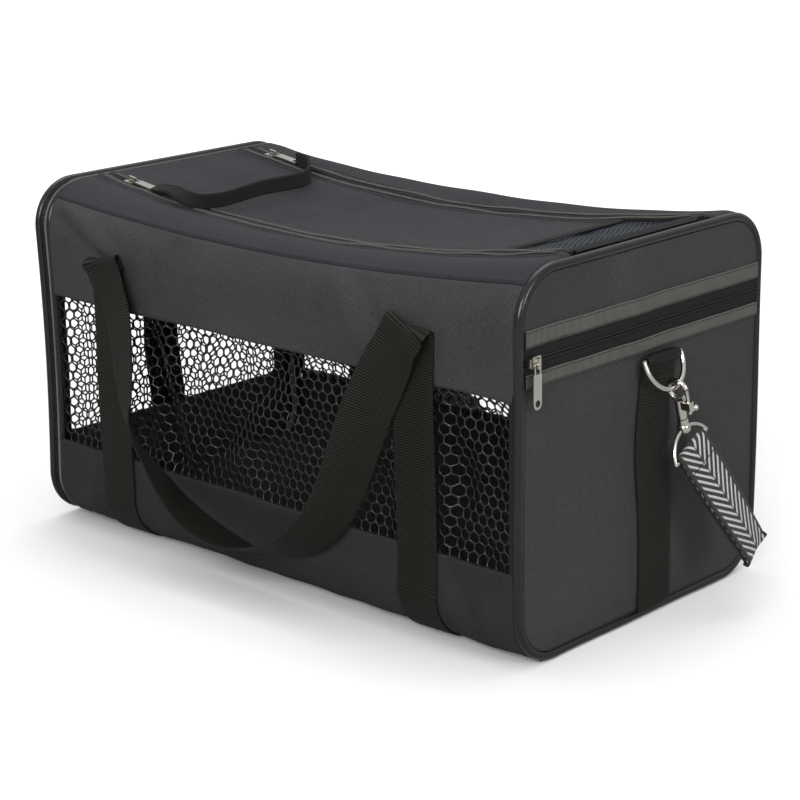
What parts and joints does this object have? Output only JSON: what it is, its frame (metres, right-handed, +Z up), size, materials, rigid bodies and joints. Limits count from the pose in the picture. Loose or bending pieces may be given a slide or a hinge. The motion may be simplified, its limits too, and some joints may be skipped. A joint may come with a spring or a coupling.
{
  "type": "pet carrier bag",
  "caption": "Soft-sided box-shaped pet carrier bag with net windows, a zipped top flap and end door, webbing carry handles, an end pocket and a clip-on strap.",
  "frame": {"origin": "centre of the base, on the floor", "axes": "+X towards the end with the zip pocket and strap, +Y to the back long side, +Z up"},
  "size_m": [0.5992, 0.3888, 0.3044],
  "materials": {
    "fabric_shell": "woven polyester, charcoal, matt",
    "net": "open hexagonal net, glossy yarn",
    "webbing": "ribbed polypropylene webbing",
    "zip_tape": "woven tape",
    "zip_coil": "nylon coil",
    "piping": "smooth coated piping",
    "wire": "drawn wire",
    "nickel": "polished nickel plate",
    "strap_weave": "jacquard webbing, dark with pale chevrons",
    "board": "moulded sheet",
    "mat_cloth": "padded cloth"
  },
  "bodies": {
    "bag_body": {"right_end_piping": "piping", "right_end_wire": "wire", "right_end_panel": "fabric_shell", "pocket_panel": "fabric_shell", "pocket_top_band": "fabric_shell", "pocket_lower_tape": "zip_tape", "pocket_upper_tape": "zip_tape", "pocket_zip_tape": "zip_tape", "pocket_zip_chain": "zip_coil", "left_inner_piping": "piping", "left_inner_wire": "wire", "rim_zip_tape": "zip_tape", "rim_teeth_body": "zip_coil", "bottom_panel": "fabric_shell", "front_lower_band": "fabric_shell", "back_lower_band": "fabric_shell", "front_mesh": "net", "back_mesh": "net", "front_upper_band": "fabric_shell", "back_upper_band": "fabric_shell", "front_top_gusset": "fabric_shell", "back_top_gusset": "fabric_shell", "gusset_zip_teeth_front": "zip_coil", "gusset_zip_teeth_back": "zip_coil", "front_webbing_left": "webbing", "front_webbing_right": "webbing", "back_webbing_left": "webbing", "back_webbing_right": "webbing", "right_ring_webbing": "webbing"},
    "floor_insert": {"base_board": "board", "floor_mat": "mat_cloth"},
    "top_flap": {"top_flap_panel": "fabric_shell", "top_flap_mesh": "net", "flap_zip_teeth_front": "zip_coil", "flap_zip_teeth_back": "zip_coil"},
    "top_slider_front": {"top_zip_slider_front": "nickel"},
    "top_slider_back": {"top_zip_slider_back": "nickel"},
    "pull_loop": {"top_zip_puller_front": "nickel", "top_zip_puller_back": "nickel", "top_pull_loop": "webbing"},
    "end_door": {"door_piping": "piping", "door_wire": "wire", "door_panel": "fabric_shell", "door_mesh": "net", "door_webbing": "webbing", "rim_teeth_door": "zip_coil"},
    "door_ring": {"door_ring": "nickel"},
    "rim_slider": {"rim_zip_slider": "nickel"},
    "rim_puller": {"rim_zip_puller": "nickel"},
    "pocket_slider": {"pocket_zip_slider": "nickel"},
    "pocket_puller": {"pocket_zip_puller": "nickel"},
    "front_handle": {"front_handle": "webbing"},
    "back_handle": {"back_handle": "webbing"},
    "bag_ring": {"right_bag_ring": "nickel"},
    "hook": {"hook_body": "nickel"},
    "hook_gate": {"hook_trigger": "nickel"},
    "swivel": {"hook_swivel": "nickel"},
    "strap": {"strap_ring": "nickel", "strap_loop": "strap_weave"}
  },
  "joints": [
    {"name": "insert_lift", "type": "slide", "parent": "bag_body", "child": "floor_insert", "axis": [0, 0, 1], "range_m": [0, 0.12]},
    {"name": "flap_open", "type": "hinge", "parent": "bag_body", "child": "top_flap", "pos_m": [0.261, 0, 0.2989], "axis": [0, 1, 0], "range_deg": [0, 110]},
    {"name": "top_zip_front", "type": "hinge", "parent": "top_flap", "child": "top_slider_front", "pos_m": [0, -0.083, 1.65333], "axis": [0, -1, 0], "range_deg": [0, 18]},
    {"name": "top_zip_back", "type": "hinge", "parent": "top_flap", "child": "top_slider_back", "pos_m": [0, 0.083, 1.65333], "axis": [0, -1, 0], "range_deg": [0, 18]},
    {"name": "pull_loop_lift", "type": "hinge", "parent": "top_slider_front", "child": "pull_loop", "pos_m": [-0.21408, -0.083, 0.2975], "axis": [0, -1, 0], "range_deg": [0, 60]},
    {"name": "door_open", "type": "hinge", "parent": "bag_body", "child": "end_door", "pos_m": [-0.2665, 0, 0.002], "axis": [0, -1, 0], "range_deg": [0, 80]},
    {"name": "door_ring_swing", "type": "hinge", "parent": "end_door", "child": "door_ring", "pos_m": [-0.27208, -0.0075, 0.207], "axis": [0, 1, 0], "range_deg": [0, 90]},
    {"name": "rim_zip", "type": "slide", "parent": "bag_body", "child": "rim_slider", "axis": [0, 0, 1], "range_m": [0, 0.18]},
    {"name": "rim_puller_lift", "type": "hinge", "parent": "rim_slider", "child": "rim_puller", "pos_m": [-0.2594, 0.1523, 0.0588], "axis": [1, 0, 0], "range_deg": [0, 80]},
    {"name": "pocket_zip", "type": "slide", "parent": "bag_body", "child": "pocket_slider", "axis": [0, 1, 0], "range_m": [0, 0.105]},
    {"name": "pocket_puller_lift", "type": "hinge", "parent": "pocket_slider", "child": "pocket_puller", "pos_m": [0.2747, -0.136, 0.2318], "axis": [0, -1, 0], "range_deg": [0, 80]},
    {"name": "front_handle_lift", "type": "hinge", "parent": "bag_body", "child": "front_handle", "pos_m": [0, -0.1565, 0.243], "axis": [-1, 0, 0], "range_deg": [0, 160]},
    {"name": "back_handle_lift", "type": "hinge", "parent": "bag_body", "child": "back_handle", "pos_m": [0, 0.1565, 0.243], "axis": [1, 0, 0], "range_deg": [0, 160]},
    {"name": "bag_ring_swing", "type": "hinge", "parent": "bag_body", "child": "bag_ring", "pos_m": [0.27468, 0.0115, 0.207], "axis": [0, -1, 0], "range_deg": [0, 65]},
    {"name": "hook_swing", "type": "hinge", "parent": "bag_ring", "child": "hook", "pos_m": [0.27552, 0.0115, 0.20491], "axis": [1, 0, 0], "range_deg": [-10, 15]},
    {"name": "gate_pull", "type": "slide", "parent": "hook", "child": "hook_gate", "axis": [0, 0.2807, -0.9598], "range_m": [0, 0.0045]},
    {"name": "swivel_turn", "type": "hinge", "parent": "hook", "child": "swivel", "pos_m": [0.2837, 0.01789, 0.18467], "axis": [0, 0.2807, -0.9598], "range_deg": [0, 20]},
    {"name": "strap_swing", "type": "hinge", "parent": "swivel", "child": "strap", "pos_m": [0.29112, 0.03468, 0.12725], "axis": [0.9511, -0.0867, 0.2966], "range_deg": [-20, 20]}
  ],
  "couplings": [
    {"joint": "top_zip_back", "follows": "top_zip_front", "ratio": 1}
  ]
}
